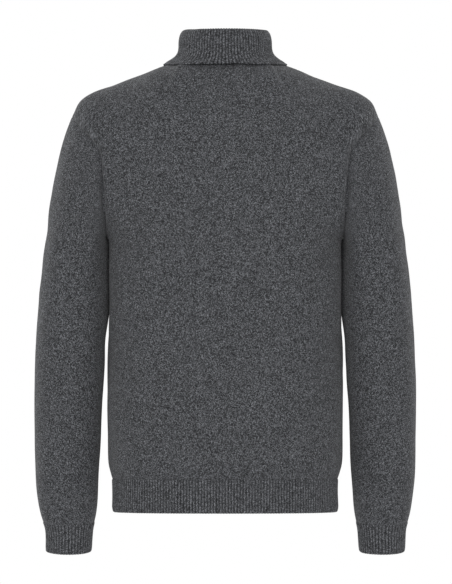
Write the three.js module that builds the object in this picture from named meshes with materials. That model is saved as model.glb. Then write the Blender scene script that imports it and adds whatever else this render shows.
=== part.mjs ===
import * as THREE from 'three';

// A ribbed turtleneck sweater, worn and filled out, with nobody in it.
// Millimetres. +Z is up, the front faces -Y and +X is the wearer's left.
// The origin is the middle of the neck's base, level with the collar's lower edge.
// Every piece of cloth is a thin closed wall: an outer skin, an inner skin and rims.

// Cloth
const JERSEY_WALL = 2.5;
const RIB_WALL = 2.6;
const RIB_RELIEF = 0.9;
const SEAM_GAP = 0.3;

// Counts: ribs follow the knitted gauge, columns and rows set how finely a wall is cut
const HEM_RIBS_PER_HALF = 104;
const CUFF_RIBS = 48;
const COLLAR_RIBS = 96;
const POINTS_PER_RIB = 2;
const HEM_INNER_COLUMNS = 26;
const CUFF_INNER_COLUMNS = 16;
const PANEL_HALF_COLUMNS = 12;
const YOKE_ROWS = 10;
const CAP_ROWS = 6;
const ARC_SAMPLES = 240;

// The body's rings are rounded rectangles: 2 would be an ellipse
const BODY_ROUNDNESS = 2.35;
const SLEEVE_ROUNDNESS = 2.1;

// The body from the hem rib's seam up to the underarm: half width and depth behind and in front
const BODY_SECTIONS = [
  { z: -631, halfWidth: 172.3, back: 117.0, front: 119.0 },
  { z: -620, halfWidth: 175.6, back: 121.0, front: 123.0 },
  { z: -603, halfWidth: 178.8, back: 124.5, front: 126.5 },
  { z: -560, halfWidth: 179.6, back: 125.0, front: 127.0 },
  { z: -480, halfWidth: 179.6, back: 122.0, front: 126.0 },
  { z: -400, halfWidth: 179.4, back: 120.0, front: 126.0 },
  { z: -330, halfWidth: 179.6, back: 122.0, front: 129.0 },
  { z: -274, halfWidth: 180.0, back: 126.0, front: 132.0 },
  { z: -262, halfWidth: 180.3, back: 127.0, front: 133.0 },
];

const HEM_SECTIONS = [
  { z: -631, halfWidth: 172.3, back: 117.0, front: 119.0 },
  { z: -648, halfWidth: 171.9, back: 117.2, front: 119.2 },
  { z: -682, halfWidth: 172.2, back: 118.5, front: 120.5 },
];

// The armhole seam on the left, from just above the underarm to just below the shoulder tip
const UNDERARM = { x: 181.4, y: 0, z: -262 };
const SHOULDER_TIP = { x: 235, y: 0, z: -78 };
const ARMHOLE_BACK = [
  { x: 181.6, y: 36, z: -252 },
  { x: 182.3, y: 60, z: -226 },
  { x: 183.5, y: 73, z: -190 },
  { x: 185.5, y: 75, z: -155 },
  { x: 191.0, y: 70, z: -130 },
  { x: 204.0, y: 60, z: -111 },
  { x: 220.0, y: 42, z: -94 },
  { x: 231.0, y: 22, z: -83 },
];
const ARMHOLE_FRONT = [
  { x: 181.0, y: -35, z: -251 },
  { x: 180.2, y: -58, z: -225 },
  { x: 179.4, y: -71, z: -190 },
  { x: 180.8, y: -74, z: -156 },
  { x: 187.0, y: -71, z: -130 },
  { x: 201.0, y: -61, z: -110 },
  { x: 218.5, y: -43, z: -93.5 },
  { x: 230.5, y: -22, z: -83 },
];

// The ridge of the shoulder, where the front and back are sewn, from the neck to the tip
const SHOULDER_RIDGE = [
  { x: 66, z: 9 },
  { x: 101, z: -2.7 },
  { x: 137, z: -17.6 },
  { x: 170, z: -29.6 },
  { x: 199, z: -39.8 },
  { x: 221.5, z: -54 },
  { x: 235, z: -78 },
];

const NECKLINE = { halfWidth: 66, back: 61, front: 64, backZ: 4, sideZ: 9, frontZ: -36 };

// How each column of a panel rises from the underarm ring and comes over to the top edge.
// Rows run from the middle (first) to the armhole (last). lowY and rise place the lower
// handle; topX, topY and topZ offset the upper handle from the top edge.
const BACK_COLUMNS = [
  { lowY: 131, rise: 95, topX: 0, topY: 39, topZ: -34 },
  { lowY: 129, rise: 93, topX: 2, topY: 46, topZ: -4 },
  { lowY: 122, rise: 140, topX: 6, topY: 106, topZ: 0 },
  { lowY: 110, rise: 66, topX: -4, topY: 86, topZ: -4 },
  { lowY: 95, rise: 0, topX: -63, topY: 100, topZ: -13 },
];
const FRONT_COLUMNS = [
  { lowY: 136, rise: 88, topX: 0, topY: 36, topZ: -46 },
  { lowY: 134, rise: 86, topX: 2, topY: 42, topZ: -38 },
  { lowY: 126, rise: 80, topX: 6, topY: 68.5, topZ: -14.5 },
  { lowY: 112, rise: 62, topX: -6, topY: 82, topZ: -5 },
  { lowY: 92, rise: 0, topX: -67, topY: 96, topZ: -13 },
];
const ARMHOLE_FADE_FROM = 0.55;

// The sleeve head: how each column leaves the armhole and arrives at the first full ring.
// Rows run from the underarm to the shoulder tip.
const SLEEVE_HEAD_COLUMNS = [
  { leaveX: 1.2, leaveY: 0, leaveZ: -12, arriveX: 0, arriveZ: 12 },
  { leaveX: 10, leaveY: 9, leaveZ: -16, arriveX: 0, arriveZ: 28 },
  { leaveX: 34, leaveY: 7, leaveZ: -26, arriveX: -2, arriveZ: 58 },
  { leaveX: 33, leaveY: 4, leaveZ: -46, arriveX: -6.5, arriveZ: 70 },
  { leaveX: 25, leaveY: 0, leaveZ: -62, arriveX: -10, arriveZ: 82 },
];

// The left sleeve from its first full ring to the cuff rib; tilt slopes a ring with the forearm
const SLEEVE_SECTIONS = [
  { z: -300, inner: 183.2, outer: 278.6, middleY: 3, halfDepth: 62, tilt: 0 },
  { z: -345, inner: 182.6, outer: 284, middleY: 2, halfDepth: 61, tilt: 0 },
  { z: -400, inner: 183, outer: 288, middleY: -1, halfDepth: 58.5, tilt: 0.02 },
  { z: -460, inner: 185.4, outer: 291, middleY: -5, halfDepth: 55.5, tilt: 0.05 },
  { z: -520, inner: 188.6, outer: 292, middleY: -11, halfDepth: 52, tilt: 0.08 },
  { z: -580, inner: 191.4, outer: 291.8, middleY: -18, halfDepth: 48.5, tilt: 0.11 },
  { z: -630, inner: 193.6, outer: 290.2, middleY: -24, halfDepth: 45.5, tilt: 0.13 },
  { z: -665, inner: 196, outer: 286.6, middleY: -29, halfDepth: 43, tilt: 0.14 },
  { z: -684, inner: 198.2, outer: 283.2, middleY: -31.5, halfDepth: 40.5, tilt: 0.15 },
  { z: -697, inner: 200.6, outer: 279.6, middleY: -33.5, halfDepth: 38, tilt: 0.15 },
];
const CUFF_SECTIONS = [
  { z: -697, inner: 200.6, outer: 279.6, middleY: -33.5, halfDepth: 38, tilt: 0.15 },
  { z: -712, inner: 203.4, outer: 275.9, middleY: -36.2, halfDepth: 35.5, tilt: 0.15 },
  { z: -743, inner: 205.6, outer: 275.2, middleY: -41, halfDepth: 34.5, tilt: 0.15 },
];

// The collar's visible face: up the inside of the stand, over the roll and down the fold
const COLLAR_SECTIONS = [
  { halfWidth: 63.9, back: 58.6, front: 61.7, backZ: 3.1, sideZ: 7.4, frontZ: -37 },
  { halfWidth: 59.2, back: 54.6, front: 57.2, backZ: 21, sideZ: 23, frontZ: -10 },
  { halfWidth: 56.8, back: 52.4, front: 55, backZ: 40, sideZ: 40.6, frontZ: 18 },
  { halfWidth: 58, back: 53.6, front: 56.2, backZ: 50.6, sideZ: 49.6, frontZ: 30 },
  { halfWidth: 62.8, back: 58.6, front: 61.2, backZ: 55.4, sideZ: 54.2, frontZ: 36 },
  { halfWidth: 68.2, back: 64.4, front: 67, backZ: 50.8, sideZ: 48.8, frontZ: 30 },
  { halfWidth: 70.8, back: 66.9, front: 69.5, backZ: 40, sideZ: 38.6, frontZ: 17 },
  { halfWidth: 71.5, back: 68, front: 70.8, backZ: 23, sideZ: 24.2, frontZ: -6 },
  { halfWidth: 75.2, back: 69.4, front: 72.6, backZ: 13.6, sideZ: 15.6, frontZ: -20 },
  { halfWidth: 84.2, back: 71.4, front: 74.4, backZ: 7, sideZ: 8.4, frontZ: -32.5 },
  { halfWidth: 95.8, back: 74, front: 76.6, backZ: 2.4, sideZ: 2.8, frontZ: -43 },
];
const NECK_COLUMNS = 2 * PANEL_HALF_COLUMNS;

const JERSEY = new THREE.MeshStandardMaterial({ color: 0x4b4d50, roughness: 0.95, metalness: 0 });
const RIB = new THREE.MeshStandardMaterial({ color: 0x484a4d, roughness: 0.95, metalness: 0 });

const X_AXIS = new THREE.Vector3(1, 0, 0);
const QUARTER_TURN = Math.PI / 2;

function vector(x, y, z) {
  return new THREE.Vector3(x, y, z);
}

function smooth(from, to, value) {
  return THREE.MathUtils.smoothstep(value, from, to);
}

// A table read between its rows, on a smooth curve through each named column
function tableAt(rows, position) {
  const last = rows.length - 1;
  const index = Math.min(Math.max(Math.floor(position), 0), last - 1);
  const part = position - index;
  const read = {};
  for (const name of Object.keys(rows[0])) {
    const here = rows[index][name];
    const next = rows[index + 1][name];
    const before = index > 0 ? rows[index - 1][name] : 2 * here - next;
    const after = index + 2 <= last ? rows[index + 2][name] : 2 * next - here;
    const slopeHere = (next - before) / 2;
    const slopeNext = (after - here) / 2;
    const bend = 2 * (here - next) + slopeHere + slopeNext;
    const lean = 3 * (next - here) - 2 * slopeHere - slopeNext;
    read[name] = ((bend * part + lean) * part + slopeHere) * part + here;
  }
  return read;
}

function bezier(start, startHandle, endHandle, end, part) {
  const rest = 1 - part;
  return vector(0, 0, 0)
    .addScaledVector(start, rest ** 3)
    .addScaledVector(startHandle, 3 * rest * rest * part)
    .addScaledVector(endHandle, 3 * rest * part * part)
    .addScaledVector(end, part ** 3);
}

function signedPower(value, power) {
  return Math.sign(value) * Math.abs(value) ** power;
}

// A point on one half of a body ring: across runs from -1 to 1, side is 1 behind and -1 in front
function bodyPoint(section, side, across) {
  const angle = across * QUARTER_TURN;
  const depth = side > 0 ? section.back : section.front;
  const power = 2 / BODY_ROUNDNESS;
  const x = section.halfWidth * signedPower(Math.sin(angle), power);
  const y = side * depth * Math.max(Math.cos(angle), 0) ** power;
  return vector(x, y, section.z);
}

function neckPoint(ring, angle) {
  const x = ring.halfWidth * Math.sin(angle);
  const along = Math.cos(angle);
  const depth = along > 0 ? ring.back : ring.front;
  const farZ = along > 0 ? ring.backZ : ring.frontZ;
  return vector(x, depth * along, ring.sideZ + (farZ - ring.sideZ) * along * along);
}

function sleevePoint(section, angle) {
  const middleX = (section.inner + section.outer) / 2;
  const halfWidth = (section.outer - section.inner) / 2;
  const power = 2 / SLEEVE_ROUNDNESS;
  const y = section.halfDepth * signedPower(Math.sin(angle), power);
  const x = middleX - halfWidth * signedPower(Math.cos(angle), power);
  return vector(x, section.middleY + y, section.z - y * section.tilt);
}

// The seam frames: a point on the seam, the way out of the cloth and the way across the seam

function seamFrame(point, along, across) {
  const direction = along.clone().normalize();
  const sideways = across.clone().addScaledVector(direction, -across.dot(direction)).normalize();
  const outward = direction.clone().cross(sideways).normalize();
  return { point, outward, across: sideways };
}

function loopFrames(points, acrossAt) {
  const count = points.length;
  return points.map((point, index) => {
    const along = points[(index + 1) % count].clone().sub(points[(index + count - 1) % count]);
    return seamFrame(point, along, acrossAt(index));
  });
}

function armholeFrames() {
  const rows = [UNDERARM, ...ARMHOLE_BACK, SHOULDER_TIP, ...ARMHOLE_FRONT.slice().reverse()];
  const knots = rows.map((row) => vector(row.x, row.y, row.z));
  const seam = new THREE.CatmullRomCurve3(knots, true, 'catmullrom', 0.5);
  const count = 2 * YOKE_ROWS;
  const points = [];
  for (let index = 0; index < count; index += 1) {
    points.push(seam.getPoint(index / count));
  }
  const shoulderAcross = vector(0.45, 0, -0.89);
  return loopFrames(points, (index) => {
    const height = 1 - Math.abs(index / YOKE_ROWS - 1);
    return X_AXIS.clone().lerp(shoulderAcross, smooth(0.55, 1, height));
  });
}

function necklineFrames() {
  const points = [];
  for (let index = 0; index < NECK_COLUMNS; index += 1) {
    points.push(neckPoint(NECKLINE, (index / NECK_COLUMNS) * 2 * Math.PI));
  }
  return loopFrames(points, (index) => {
    const angle = (index / NECK_COLUMNS) * 2 * Math.PI;
    const inward = 0.36 + 0.24 * Math.sin(angle) ** 2;
    return vector(-inward * Math.sin(angle), -inward * Math.cos(angle), 0.9);
  }).map((frame) => {
    const radial = frame.point.clone().setZ(0);
    if (frame.outward.dot(radial) < 0) {
      frame.outward.negate();
    }
    return frame;
  });
}

const ARMHOLE = armholeFrames();
const NECK = necklineFrames();

// Grids of points and the walls between them

function gridNormals(grid, closed) {
  const rows = grid.length;
  const columns = grid[0].length;
  return grid.map((line, row) => line.map((point, column) => {
    const up = grid[Math.min(row + 1, rows - 1)][column].clone()
      .sub(grid[Math.max(row - 1, 0)][column]);
    const next = closed ? (column + 1) % columns : Math.min(column + 1, columns - 1);
    const before = closed ? (column + columns - 1) % columns : Math.max(column - 1, 0);
    const over = line[next].clone().sub(line[before]);
    return over.cross(up).normalize();
  }));
}

// One closed wall between an outer and an inner grid. The outer grid may have several columns
// for each inner one; a closed grid joins its last column to its first. An open wall's side
// rims are split from their inner or outer corners, to match the piece sewn to them.
function wallGeometry(outer, inner, closed, splitFromInner = false) {
  const positions = [];
  const faces = [];
  const rows = outer.length;
  const store = (grid) => grid.map((line) => line.map((point) => {
    positions.push(point.x, point.y, point.z);
    return positions.length / 3 - 1;
  }));
  const outerIndex = store(outer);
  const innerIndex = store(inner);
  const quad = ([a, b, c, d], reverse) => {
    faces.push(...(reverse ? [[c, b, a], [d, c, a]] : [[a, b, c], [a, c, d]]));
  };

  // Cells are split along mirrored diagonals on the two halves of an open wall
  const skin = (index, reverse) => {
    const columns = index[0].length;
    const cells = closed ? columns : columns - 1;
    for (let row = 0; row < rows - 1; row += 1) {
      for (let column = 0; column < cells; column += 1) {
        const next = (column + 1) % columns;
        const corners = [
          index[row][column], index[row][next], index[row + 1][next], index[row + 1][column],
        ];
        if (!closed && column < cells / 2) {
          corners.push(corners.shift());
        }
        quad(corners, reverse);
      }
    }
  };

  // A rim between one outer row and the inner row beside it
  const rim = (row, reverse) => {
    const outerLine = outerIndex[row];
    const innerLine = innerIndex[row];
    const innerCells = closed ? innerLine.length : innerLine.length - 1;
    const outerCells = closed ? outerLine.length : outerLine.length - 1;
    const ratio = outerCells / innerCells;
    const half = Math.floor(ratio / 2);
    const add = (a, b, c) => faces.push(reverse ? [c, b, a] : [a, b, c]);
    for (let cell = 0; cell < innerCells; cell += 1) {
      const innerNext = innerLine[(cell + 1) % innerLine.length];
      for (let step = 0; step < ratio; step += 1) {
        const first = outerLine[cell * ratio + step];
        const second = outerLine[(cell * ratio + step + 1) % outerLine.length];
        add(second, first, step < half ? innerLine[cell] : innerNext);
      }
      add(outerLine[cell * ratio + half], innerLine[cell], innerNext);
    }
  };

  skin(outerIndex, false);
  skin(innerIndex, true);
  rim(0, false);
  rim(rows - 1, true);
  if (!closed) {
    const lastOuter = outer[0].length - 1;
    const lastInner = inner[0].length - 1;
    for (let row = 0; row < rows - 1; row += 1) {
      const first = [
        outerIndex[row][0], outerIndex[row + 1][0], innerIndex[row + 1][0], innerIndex[row][0],
      ];
      const last = [
        outerIndex[row][lastOuter], innerIndex[row][lastInner],
        innerIndex[row + 1][lastInner], outerIndex[row + 1][lastOuter],
      ];
      if (splitFromInner) {
        first.unshift(first.pop());
        last.push(last.shift());
      }
      quad(first, false);
      quad(last, false);
    }
  }
  return closedGeometry(positions, faces);
}

// Faces are turned round as one if they enclose a negative volume
function closedGeometry(positions, faces) {
  const corner = (index) => vector(...positions.slice(3 * index, 3 * index + 3));
  let volume = 0;
  for (const [a, b, c] of faces) {
    volume += corner(a).dot(corner(b).cross(corner(c)));
  }
  const ordered = volume < 0 ? faces.map(([a, b, c]) => [c, b, a]) : faces;
  const geometry = new THREE.BufferGeometry();
  geometry.setAttribute('position', new THREE.Float32BufferAttribute(positions, 3));
  geometry.setIndex(ordered.flat());
  geometry.computeVertexNormals();
  return geometry;
}

function offsetGrid(grid, normals, distance) {
  return grid.map((line, row) => line.map((point, column) => (
    point.clone().addScaledVector(normals[row][column], distance)
  )));
}

// Front and back panels

function topEdgePoint(side, across) {
  const share = Math.abs(across);
  if (share <= 0.5) {
    const angle = share * 2 * QUARTER_TURN;
    return neckPoint(NECKLINE, side > 0 ? angle : Math.PI - angle);
  }
  const ridge = tableAt(SHOULDER_RIDGE, (share - 0.5) * 2 * (SHOULDER_RIDGE.length - 1));
  return vector(ridge.x, 0, ridge.z);
}

function yokeColumn(side, share, part) {
  const handles = tableAt(side > 0 ? BACK_COLUMNS : FRONT_COLUMNS, share * 4);
  const start = bodyPoint(BODY_SECTIONS[BODY_SECTIONS.length - 1], side, share);
  const startHandle = vector(start.x + 3 * share ** 4, side * handles.lowY, start.z + handles.rise);
  const end = topEdgePoint(side, share);
  const endHandle = end.clone().add(vector(handles.topX, side * handles.topY, handles.topZ));
  return bezier(start, startHandle, endHandle, end, part);
}

function armholeIndex(side, row) {
  return side > 0 ? row : (2 * YOKE_ROWS - row) % (2 * YOKE_ROWS);
}

// A panel's point above the underarm, drawn to the armhole seam where it comes near it
function yokePoint(side, across, row) {
  const share = Math.abs(across);
  const part = row / YOKE_ROWS;
  const point = yokeColumn(side, share, part);
  const seamPoint = ARMHOLE[armholeIndex(side, row)].point;
  const miss = seamPoint.clone().sub(yokeColumn(side, 1, part));
  const fade = smooth(ARMHOLE_FADE_FROM, 1, share) * (row === YOKE_ROWS ? 0 : 1);
  point.addScaledVector(miss, fade);
  return point.setX(point.x * Math.sign(across || 1));
}

function mirrored(direction, sign) {
  return vector(direction.x * sign, direction.y, direction.z);
}

function panel(side) {
  const half = SEAM_GAP / 2;
  const columns = 2 * PANEL_HALF_COLUMNS;
  const lowRows = BODY_SECTIONS.length - 1;
  const grid = [];
  for (let row = 0; row <= lowRows + YOKE_ROWS; row += 1) {
    const line = [];
    for (let column = 0; column <= columns; column += 1) {
      const across = column / PANEL_HALF_COLUMNS - 1;
      line.push(row < lowRows
        ? bodyPoint(BODY_SECTIONS[row], side, across)
        : yokePoint(side, across, row - lowRows));
    }
    grid.push(line);
  }
  const normals = gridNormals(grid, false).map((line) => line.map((normal) => (
    side > 0 ? normal.negate() : normal
  )));
  const shift = grid.map((line) => line.map(() => vector(0, 0, 0)));

  for (let column = 0; column <= columns; column += 1) {
    const across = column / PANEL_HALF_COLUMNS - 1;
    const share = Math.abs(across);
    const top = grid.length - 1;
    normals[0][column].setZ(0).normalize();
    shift[0][column].z += half;
    if (share > 0.5) {
      normals[top][column].setY(0).normalize();
      shift[top][column].y += side * half;
    }
    if (share <= 0.5) {
      const turn = side > 0 ? column - PANEL_HALF_COLUMNS : columns - column;
      const frame = NECK[(turn + NECK_COLUMNS) % NECK_COLUMNS];
      normals[top][column].copy(frame.outward);
      shift[top][column].addScaledVector(frame.across, -half);
    }
  }
  for (const [column, sign] of [[0, -1], [columns, 1]]) {
    for (let row = 0; row <= lowRows; row += 1) {
      normals[row][column].setY(0).normalize();
      shift[row][column].y += side * half;
    }
    for (let row = 0; row <= YOKE_ROWS; row += 1) {
      const frame = ARMHOLE[armholeIndex(side, row)];
      normals[lowRows + row][column].copy(mirrored(frame.outward, sign));
      shift[lowRows + row][column].addScaledVector(mirrored(frame.across, sign), -half);
    }
  }
  for (const column of [PANEL_HALF_COLUMNS / 2, columns - PANEL_HALF_COLUMNS / 2]) {
    shift[grid.length - 1][column].y += side * half;
  }
  const outer = grid.map((line, row) => line.map((point, column) => (
    point.clone().add(shift[row][column])
  )));
  return wallGeometry(outer, offsetGrid(outer, normals, -JERSEY_WALL), false, side < 0);
}

// The left sleeve; the right one is its mirror image

function sleeveHeadPoint(index, part) {
  const height = 1 - Math.abs(index / YOKE_ROWS - 1);
  const side = index <= YOKE_ROWS ? 1 : -1;
  const handles = tableAt(SLEEVE_HEAD_COLUMNS, height * (SLEEVE_HEAD_COLUMNS.length - 1));
  const start = ARMHOLE[index].point;
  const startHandle = start.clone()
    .add(vector(handles.leaveX, side * handles.leaveY, handles.leaveZ));
  const end = sleevePoint(SLEEVE_SECTIONS[0], (index / YOKE_ROWS) * Math.PI);
  const endHandle = end.clone().add(vector(handles.arriveX, 0, handles.arriveZ));
  return bezier(start, startHandle, endHandle, end, part);
}

// The way out of a tilted ring, kept in the ring's own plane so that its rim is flat
function ringNormal(normal, tilt) {
  const axis = vector(0, tilt, 1).normalize();
  return normal.addScaledVector(axis, -normal.dot(axis)).normalize();
}

function sleeve(sign) {
  const half = SEAM_GAP / 2;
  const columns = 2 * YOKE_ROWS;
  const grid = [];
  for (let row = 0; row < CAP_ROWS; row += 1) {
    grid.push(ARMHOLE.map((frame, index) => sleeveHeadPoint(index, row / CAP_ROWS)));
  }
  for (const section of SLEEVE_SECTIONS) {
    grid.push(ARMHOLE.map((frame, index) => sleevePoint(section, (index / columns) * 2 * Math.PI)));
  }
  const normals = gridNormals(grid, true);
  const last = grid.length - 1;
  const tilt = SLEEVE_SECTIONS[SLEEVE_SECTIONS.length - 1].tilt;
  ARMHOLE.forEach((frame, index) => {
    normals[0][index].copy(frame.outward);
    grid[0][index] = grid[0][index].clone().addScaledVector(frame.across, half);
    ringNormal(normals[last][index], tilt);
    grid[last][index].z += half;
  });
  return wallGeometry(
    mirroredGrid(grid, sign), mirroredGrid(offsetGrid(grid, normals, -JERSEY_WALL), sign), true,
  );
}

function mirroredGrid(grid, sign) {
  return grid.map((line) => line.map((point) => mirrored(point, sign)));
}

// Ribbed bands: every other outer column is raised over a plain inside

function ribbedOuter(base, normals, plainRows) {
  return base.map((line, row) => line.map((point, column) => {
    const raised = column % POINTS_PER_RIB === 1 && !plainRows.includes(row);
    return point.clone().addScaledVector(normals[row][column], raised ? RIB_RELIEF : 0);
  }));
}

function everyNth(grid, step) {
  return grid.map((line) => line.filter((point, column) => column % step === 0));
}

// Places along a half ring that are evenly spaced by length, so that ribs keep their pitch
function evenPlaces(section, side, count) {
  const lengths = [0];
  let before = bodyPoint(section, side, -1);
  for (let sample = 1; sample <= ARC_SAMPLES; sample += 1) {
    const point = bodyPoint(section, side, (2 * sample) / ARC_SAMPLES - 1);
    lengths.push(lengths[sample - 1] + point.distanceTo(before));
    before = point;
  }
  const places = [];
  let sample = 0;
  for (let index = 0; index <= count; index += 1) {
    const target = (lengths[ARC_SAMPLES] * index) / count;
    while (sample < ARC_SAMPLES - 1 && lengths[sample + 1] < target) {
      sample += 1;
    }
    const part = (target - lengths[sample]) / (lengths[sample + 1] - lengths[sample]);
    places.push((2 * (sample + part)) / ARC_SAMPLES - 1);
  }
  return places;
}

function hemRib(side) {
  const half = SEAM_GAP / 2;
  const columns = HEM_RIBS_PER_HALF * POINTS_PER_RIB;
  const places = evenPlaces(HEM_SECTIONS[0], side, columns);
  const grid = HEM_SECTIONS.map((section) => (
    places.map((across) => bodyPoint(section, side, across))
  ));
  const normals = gridNormals(grid, false).map((line) => line.map((normal) => (
    (side > 0 ? normal : normal.negate()).setZ(0).normalize()
  )));
  for (const column of [0, columns]) {
    grid.forEach((line, row) => {
      normals[row][column].setY(0).normalize();
      line[column].y += side * half;
    });
  }
  grid[0].forEach((point) => {
    point.z -= half;
  });
  const step = columns / HEM_INNER_COLUMNS;
  const inner = everyNth(offsetGrid(grid, normals, -RIB_WALL), step);
  return wallGeometry(ribbedOuter(grid, normals, []), inner, false);
}

function cuff(sign) {
  const half = SEAM_GAP / 2;
  const columns = CUFF_RIBS * POINTS_PER_RIB;
  const grid = CUFF_SECTIONS.map((section) => {
    const line = [];
    for (let column = 0; column < columns; column += 1) {
      line.push(sleevePoint(section, (column / columns) * 2 * Math.PI));
    }
    return line;
  });
  const normals = gridNormals(grid, true).map((line, row) => line.map((normal) => (
    ringNormal(normal, CUFF_SECTIONS[row].tilt)
  )));
  grid[0].forEach((point) => {
    point.z -= half;
  });
  const inner = everyNth(offsetGrid(grid, normals, -RIB_WALL), columns / CUFF_INNER_COLUMNS);
  return wallGeometry(
    mirroredGrid(ribbedOuter(grid, normals, []), sign), mirroredGrid(inner, sign), true,
  );
}

// The collar is one folded tube. Its first row is cut to the neck seam's own corners.
function collar() {
  const half = SEAM_GAP / 2;
  const columns = COLLAR_RIBS * POINTS_PER_RIB;
  const step = columns / NECK_COLUMNS;
  const grid = COLLAR_SECTIONS.map((section) => {
    const line = [];
    for (let column = 0; column < columns; column += 1) {
      line.push(neckPoint(section, (column / columns) * 2 * Math.PI));
    }
    return line;
  });
  const normals = gridNormals(grid, true);
  const hidden = everyNth(offsetGrid(grid, normals, -RIB_WALL), step);

  const seamFace = NECK.map((frame) => (
    frame.point.clone().addScaledVector(frame.outward, -RIB_WALL).addScaledVector(frame.across, half)
  ));
  grid[0] = grid[0].map((point, column) => {
    const corner = Math.floor(column / step);
    const next = seamFace[(corner + 1) % NECK_COLUMNS];
    return seamFace[corner].clone().lerp(next, (column % step) / step);
  });
  hidden[0] = NECK.map((frame) => frame.point.clone().addScaledVector(frame.across, half));
  return wallGeometry(ribbedOuter(grid, normals, [0]), hidden, true);
}

function addPiece(group, name, geometry, material) {
  const mesh = new THREE.Mesh(geometry, material);
  mesh.name = name;
  group.add(mesh);
}

const sweater = new THREE.Group();
addPiece(sweater, 'back', panel(1), JERSEY);
addPiece(sweater, 'front', panel(-1), JERSEY);
addPiece(sweater, 'sleeve_left', sleeve(1), JERSEY);
addPiece(sweater, 'sleeve_right', sleeve(-1), JERSEY);
addPiece(sweater, 'hem_rib_back', hemRib(1), RIB);
addPiece(sweater, 'hem_rib_front', hemRib(-1), RIB);
addPiece(sweater, 'cuff_left', cuff(1), RIB);
addPiece(sweater, 'cuff_right', cuff(-1), RIB);
addPiece(sweater, 'collar', collar(), RIB);

export default sweater;
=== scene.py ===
import bpy
import numpy as np
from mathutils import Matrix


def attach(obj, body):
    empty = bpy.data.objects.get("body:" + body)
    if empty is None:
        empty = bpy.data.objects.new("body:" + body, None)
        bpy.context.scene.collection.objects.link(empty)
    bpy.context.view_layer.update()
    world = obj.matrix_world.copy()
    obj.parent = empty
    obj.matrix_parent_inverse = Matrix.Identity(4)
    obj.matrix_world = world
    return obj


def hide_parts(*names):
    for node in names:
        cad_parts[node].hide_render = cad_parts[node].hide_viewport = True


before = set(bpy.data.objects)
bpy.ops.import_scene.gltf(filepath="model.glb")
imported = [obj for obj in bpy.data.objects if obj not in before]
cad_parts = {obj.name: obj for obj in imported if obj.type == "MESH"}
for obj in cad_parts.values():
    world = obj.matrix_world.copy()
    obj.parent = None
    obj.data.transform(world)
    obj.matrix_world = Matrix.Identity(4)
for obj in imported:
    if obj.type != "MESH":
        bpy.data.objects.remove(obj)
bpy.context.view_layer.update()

# A ribbed turtleneck sweater, worn and filled out, with nobody in it.
# Sizes are in millimetres. +Z is up, +X is the wearer's left and the back faces +Y.
MILLIMETRE = 0.001

# Cloth: its walls, and how high and how full the ribs stand on the bands
JERSEY_WALL = 2.5
RIB_WALL = 2.6
RIB_RELIEF = 0.9
RIB_FULLNESS = 0.7

# Edges that bend less than this are shaded as smooth
SMOOTH_UP_TO = np.radians(80)

# Bands: ribs rise out of a seam over this distance, and free edges are drawn in a little
RIB_RISE = (-1, 4)
HEM_TURN_IN = 1.6
CUFF_TURN_IN = 0.4
EDGE_TURN_FROM = 7.0

# The collar is thinner towards the edge of its fold and about the roll, which is a row of its
# table. Folds are softer on it, and its ribs flatten towards the edge.
FOLD_EDGE_WALL = 1.7
FOLD_EDGE_TAPER = 9.0
ROLL_ROW = 4
ROLL_REACH = 0.9
ROLL_THINNING = 1.2
COLLAR_SOFTNESS = 0.7
COLLAR_EDGE_FLATTENING = 0.7

# Seams dip into the cloth. An extra row or column close beside each keeps its dip narrow.
SEAM_DIP = 0.55
BAND_SEAM_DIP = 0.25
SEAM_STEP = 1.6
PANEL_BESIDE_ARMHOLE = 0.006
PANEL_BESIDE_TOP = 0.007
SLEEVE_BESIDE_ARMHOLE = 0.012
SLEEVE_BESIDE_CUFF = 0.12
COLLAR_BESIDE_NECK = 0.06

# Knitted gauge: a wale is one column of stitches and a course is one row of them
JERSEY_WALE = 2.3
JERSEY_COURSE = 1.75
RIB_WALE = 4.57
RIB_COURSE = 1.9
HEM_RIBS_PER_HALF = 104
CUFF_RIBS = 48
COLLAR_RIBS = 96
STEPS_PER_RIB = 6

# Above the underarm, within this share of the way up, wales go over from lengths measured round
# the body to distances from its middle
YOKE_BLEND = 0.3

# How finely the cloth is cut: even steps, in millimetres or by count
PANEL_ROW_STEP = 5.0
PANEL_COLUMNS_INNER = 30
PANEL_COLUMNS_OUTER = 32
YOKE_ROWS = 60
SLEEVE_COLUMNS = 100
SLEEVE_HEAD_ROWS = 40
SLEEVE_ROW_STEP = 5.0
BAND_ROW_STEP = 4.0
COLLAR_ROWS = 54
EVEN_SAMPLES = 400

# The body's rings are rounded rectangles: 2 would be an ellipse
BODY_ROUNDNESS = 2.35
SLEEVE_ROUNDNESS = 2.1


def table(names, *rows):
    """Named columns, as arrays with one value for each row."""
    return dict(zip(names.split(), np.array(rows, float).T))


# The body from the hem rib's seam up to the underarm: half width and depth behind and in front
BODY_SECTIONS = table(
    "z half_width back front",
    (-631, 172.3, 117.0, 119.0),
    (-620, 175.6, 121.0, 123.0),
    (-603, 178.8, 124.5, 126.5),
    (-560, 179.6, 125.0, 127.0),
    (-480, 179.6, 122.0, 126.0),
    (-400, 179.4, 120.0, 126.0),
    (-330, 179.6, 122.0, 129.0),
    (-274, 180.0, 126.0, 132.0),
    (-262, 180.3, 127.0, 133.0),
)
HEM_SECTIONS = table(
    "z half_width back front",
    (-631, 172.3, 117.0, 119.0),
    (-648, 171.9, 117.2, 119.2),
    (-682, 172.2, 118.5, 120.5),
)

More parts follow.
